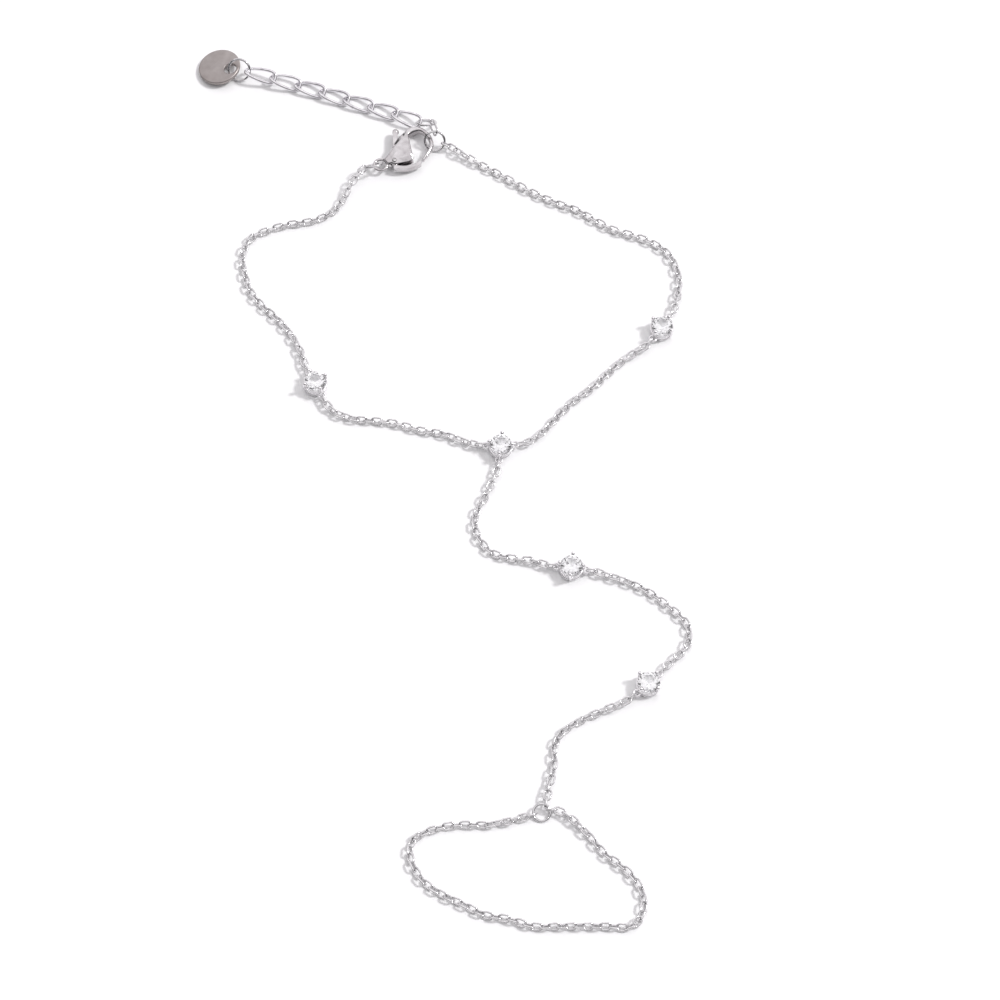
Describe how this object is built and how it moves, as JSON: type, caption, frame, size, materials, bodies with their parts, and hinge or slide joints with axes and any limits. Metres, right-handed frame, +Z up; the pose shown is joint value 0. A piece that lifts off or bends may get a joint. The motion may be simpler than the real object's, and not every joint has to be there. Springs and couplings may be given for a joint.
{
  "type": "hand chain bracelet",
  "caption": "Fine cable chain bracelet that runs from a wrist loop over the back of the hand to a finger loop, with set round stones, a lobster clasp and an extender with a round tag.",
  "frame": {"origin": "middle of the outline, on the surface that the bracelet lies on", "axes": "+Y from the finger loop towards the clasp, +X to the right with the finger loop near the viewer, +Z up"},
  "size_m": [0.0714, 0.1384, 0.0031],
  "materials": {
    "chain": "polished",
    "extender": "polished",
    "ring": "polished",
    "setting": "polished",
    "clasp": "polished",
    "pin": "polished",
    "tag": "satin",
    "stone": "cut and polished"
  },
  "bodies": {
    "bracelet": {"tag": "tag", "tag_ring": "ring", "ext_link_1": "extender", "ext_link_2": "extender", "ext_link_3": "extender", "ext_link_4": "extender", "ext_link_5": "extender", "ext_link_6": "extender", "ext_link_7": "extender", "ext_ring": "ring", "ext_join": "ring", "closing_ring": "ring", "clasp_body": "clasp", "clasp_pin": "pin", "eye_ring": "ring", "wrist_chain_1": "chain", "wrist_chain_2": "chain", "wrist_chain_3": "chain", "wrist_chain_4": "chain", "hand_chain_1": "chain", "hand_chain_2": "chain", "hand_chain_3": "chain", "setting_1": "setting", "setting_2": "setting", "setting_3": "setting", "setting_4": "setting", "setting_5": "setting", "stone_1": "stone", "stone_2": "stone", "stone_3": "stone", "stone_4": "stone", "stone_5": "stone", "finger_ring": "ring", "finger_chain": "chain"},
    "lever": {"clasp_lever": "clasp"}
  },
  "joints": [
    {"name": "clasp_lever_hinge", "type": "hinge", "parent": "bracelet", "child": "lever", "pos_m": [-0.00622, 0.04881, 0.00105], "axis": [0, 0, 1], "range_deg": [0, 24], "stiffness_Nm_per_rad": 0.01, "springref_deg": -28.65}
  ]
}
